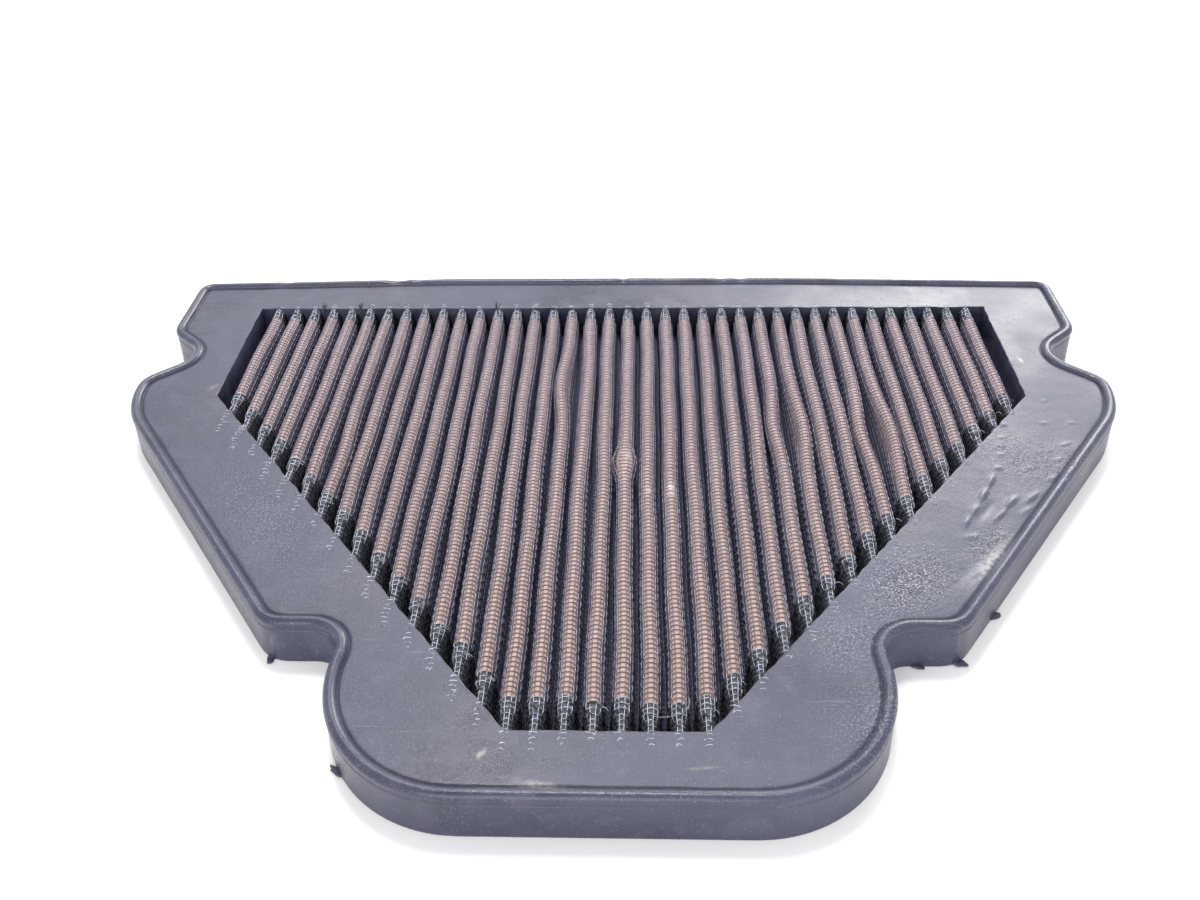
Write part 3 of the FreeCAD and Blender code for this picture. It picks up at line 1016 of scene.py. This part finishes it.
# %% Wire material
wire, tree, shader, node = new_material("screen_wire")
place = node("TexCoord").outputs["Object"]
cloud = noise_at(node, place, 60.0, 4.0)
fleck = noise_at(node, place, 2400.0, 3.0)
height = attribute(node, "outer")
rear = from_front(node, place)
shade = ramp(node, cloud, (0.35, 0.0), (0.7, 1.0))
crest_coat = mixed(node, rear, (0.20, 0.135, 0.145), (0.34, 0.28, 0.35))
clump = noise_at(node, place, 520.0, 2.0)
coat_and_painted_light = layered(
    # the pale lavender coat, with painted sheen in it where the crests turn down
    node, mixed(node, shade, (0.36, 0.33, 0.41), (0.54, 0.50, 0.58)),
    (ramp(node, height, (0.72, 0.0), (0.98, 0.85)), crest_coat),
    # painted shade: the wires turn dark and bluish lower down in the folds
    (ramp(node, math_node(node, "ADD", height, 1.0), (0.1, 0.92), (1.0, 0.0)), (0.21, 0.22, 0.35)),
    (ramp(node, clump, (0.40, 0.45), (0.56, 0.0)), (0.13, 0.11, 0.13)),
    (ramp(node, fleck, (0.5, 0.0), (0.7, 0.45)), (0.10, 0.085, 0.10)),
    (attribute(node, "scuff", 0.8), (0.78, 0.75, 0.75)))
black = ramp(node, math_node(node, "ADD", attribute(node, "resin"), 0.5), (0.3, 0.0), (0.7, 1.0))
# painted glints: silver painted into the black of the resin, only on the outer wires
glint = ramp(node, noise_at(node, place, 700.0, 2.0), (0.34, 0.0), (0.5, 1.0))
glint = math_node(node, "MULTIPLY", glint, ramp(node, height, (0.05, 0.0), (0.4, 1.0)))
black_and_painted_glints = mixed(node, glint, (0.022, 0.024, 0.038), (0.50, 0.52, 0.60))
tree.links.new(mixed(node, black, coat_and_painted_light, black_and_painted_glints), shader.inputs["Base Color"])
shader.inputs["Metallic"].default_value = 0.6
tree.links.new(mixed(node, fleck, (0.32, 0.32, 0.32), (0.5, 0.5, 0.5)), shader.inputs["Roughness"])

# %% Weave both screens
POINTS_PER_PIECE = 31000
for face_up, screen in ((True, "upper_wire_screen"), (False, "lower_wire_screen")):
    for direction, strands in zip(("crosswise", "lengthwise"), screen_strands(face_up)):
        for number, part in enumerate(parts_of(strands, POINTS_PER_PIECE), 1):
            piece = sweep("%s_%s_%d" % (screen, direction, number), [settle(p, 0.35) for p in part])
            x, y, z = points_of(piece).T
            store(piece, "resin", soaked(x, y, face_up))
            store(piece, "scuff", scuffed(x, y, z))
            store(piece, "outer", outerness(z, face_up) + bared(x, y, face_up))
            fit(piece, "screen_wire", wire, screen)

# %% [markdown]
# ## Wires that show through the skin
# Beyond the end of each pleat the upper screen's last wires lie just under the skin of the
# casting, and their tops show as short curved strokes. Some tips have also torn loose, and one
# long wire has sprung out at the front. They are all swept from the same bevel, because they are
# all the same wire. Where each one lies is drawn by seeded chance.

# %% Strokes on the land
FIRST_STROKE = 0.7              # mm from the opening's edge to the first stroke
SKIN_DEPTH = 0.055              # mm from the skin down to the middle of a wire that shows


def on_skin(x, y, arch=0.0):
    """A point of a wire that just breaks the casting's skin, from x and y in mm."""
    return (x * MM, y * MM, LAND + (land_lift(x, y) - SKIN_DEPTH + arch) * MM)


strokes = []
for k in range(PLEATS):
    centre = (k + 0.5 - PLEATS / 2) * PITCH / MM
    front = float(front_limit(centre * MM)) / MM
    on_diagonal = abs(centre) > foot_x / MM
    reach = rng.uniform(7, 11.5) if on_diagonal and centre < 0 else rng.uniform(3.2, 5.5)
    places = [(front - d, 1) for d in np.arange(FIRST_STROKE, reach, ROW_PITCH / MM)]
    places += [(rear_y / MM + d, -1)
               for d in np.arange(FIRST_STROKE, rng.uniform(0.8, 2.8), ROW_PITCH / MM)]
    for place, way in places:
        away = front - place if way > 0 else place - rear_y / MM
        half = rng.uniform(0.55, 1.25) * (1 - 0.3 * away / reach)
        side, turn, bend = rng.uniform(-0.4, 0.4), rng.uniform(-0.25, 0.25), rng.uniform(0.1, 0.4)
        steps = np.linspace(-1, 1, 5)
        strokes.append([on_skin(centre + side + half * u, place + turn * half * u + bend * (1 - u * u),
                                0.03 * (1 - u * u)) for u in steps])
        if rng.random() < 0.3:
            side = rng.choice((-0.7, 0.7)) + rng.uniform(-0.2, 0.2)
            strokes.append([on_skin(centre + side + 0.25 * u, place + 0.5 * u, 0.02 * (1 - u * u))
                            for u in steps])
print(len(strokes), "strokes show through the skin")


# %% Loose and frayed wires
def bent(*corners, steps=10):
    """A strand that bends smoothly from the first corner to the last, in mm."""
    strand = []
    for t in np.linspace(0, 1, steps):
        level = [np.array(c, dtype=float) for c in corners]
        while len(level) > 1:
            level = [a * (1 - t) + b * t for a, b in zip(level, level[1:])]
        strand.append(level[0] * MM)
    return strand


CREST = pack_top / MM
loose = [bent((7.6, -82.6, CREST - 0.7), (8.6, -85.4, CREST), (11.4, -84.2, CREST - 0.7),
              (13.4, -84.2, CREST - 2.2), (15.4, -85.0, CREST + 0.2), (18.6, -84.4, CREST + 0.4),
              (18.2, -80.4, CREST + 0.5), steps=18)]
frayed = []
for x in (-101.6, -88.9, -41.3):
    for _ in range(5):
        side, run, up = rng.uniform(-1.3, 0.6), rng.uniform(2.0, 4.6), rng.uniform(0.9, 1.5)
        frayed.append(bent((x, 84.6, CREST - 0.2), (x + side / 3, 86.5, CREST + 0.7 * up),
                          (x + side, 86.4 + run, CREST + up), steps=7))
snags = []
for k in range(PLEATS):
    centre = (k + 0.5 - PLEATS / 2) * PITCH / MM
    start = float(front_limit(centre * MM) + neck_front[k]) / MM
    count = 3 if centre < -foot_x / MM else 1
    for _ in range(count):
        side, run = rng.uniform(0.2, 1.6), rng.uniform(0.3, 2.2)
        tip = rng.uniform(0.8, 2.6) * (1 if centre < 0 else rng.choice((-1, 1)))
        snags.append(bent((centre + side, start + run, CREST - 0.25),
                          (centre + side + tip / 2, start + run + 0.6, CREST + 0.5),
                          (centre + side + tip, start + run - 0.5, CREST - 0.2), steps=6))
for name, strands, level in (("wires_under_the_skin", strokes, 0.36), ("loose_wire", loose, 0.2),
                             ("frayed_wires", frayed, 0.0), ("snagged_wires", snags, 0.26)):
    piece = sweep(name, strands)
    count = len(piece.data.vertices)
    store(piece, "resin", np.full(count, 1.0))
    store(piece, "outer", np.full(count, level))
    fit(piece, "screen_wire", wire, "upper_wire_screen")
bpy.data.objects.remove(wire_bevel)

# %% [markdown]
# ## Flash of the mould
# At the foot the two halves of the mould didn't close quite tightly, and shreds of the resin that
# crept between them still hang there. Each is a flattened ball, torn out of shape with noise.

# %% Shreds at the foot
# Near which place of the rim, in mm; half length and half width in mm, turn in degrees.
SHREDS = [(-86, -62, 1.9, 0.9, 60), (-69, -66, 2.6, 0.6, 5), (-51, -86, 2.2, 0.8, -20),
          (62, -68, 1.6, 0.6, 0), (74, -66, 1.6, 0.7, 20), (86, -62, 2.4, 1.0, 50), (100, -46, 2.0, 0.9, 30)]
SHRED_HALF_HEIGHT = 0.32        # mm
SHRED_LEVEL = 0.5 * MM
SHRED_OUT = 0.6 * MM            # how far the middle of a shred lies outside the rim
shreds = []
for x, y, long, wide, turn in SHREDS:
    nearest = np.argmin(np.hypot(rim[:, 0] - x * MM, rim[:, 1] - y * MM))
    along, away = tangent[nearest], outward[nearest]
    bpy.ops.mesh.primitive_ico_sphere_add(subdivisions=3, radius=1)
    shred = bpy.context.object
    points = points_of(shred)
    torn = np.array([1 + 0.55 * noise.noise(Vector(p) * 1.7 + Vector((x, y, 0))) for p in points])
    points *= torn[:, None] * np.array([long, wide, SHRED_HALF_HEIGHT]) * MM
    c, s = math.cos(math.radians(turn)), math.sin(math.radians(turn))
    u, v = points[:, :1], points[:, 1:2]
    flat = rim[nearest] + away * SHRED_OUT + (c * u - s * v) * along + (s * u + c * v) * away
    move_points(shred, np.column_stack([flat, points[:, 2] + SHRED_LEVEL]))
    shreds.append(shred)
pick(*shreds)
bpy.ops.object.join()
flash = bpy.context.object
flash.name = "mould_flash"
bpy.ops.object.mode_set(mode="EDIT")
bpy.ops.mesh.select_all(action="SELECT")
bpy.ops.mesh.normals_make_consistent(inside=False)
bpy.ops.object.mode_set(mode="OBJECT")
bpy.ops.object.shade_smooth()
fit(flash, "moulded_polyurethane", polyurethane, "moulded_frame")

# %% [markdown]
# ## Finish

# %% Finish
bpy.context.view_layer.update()
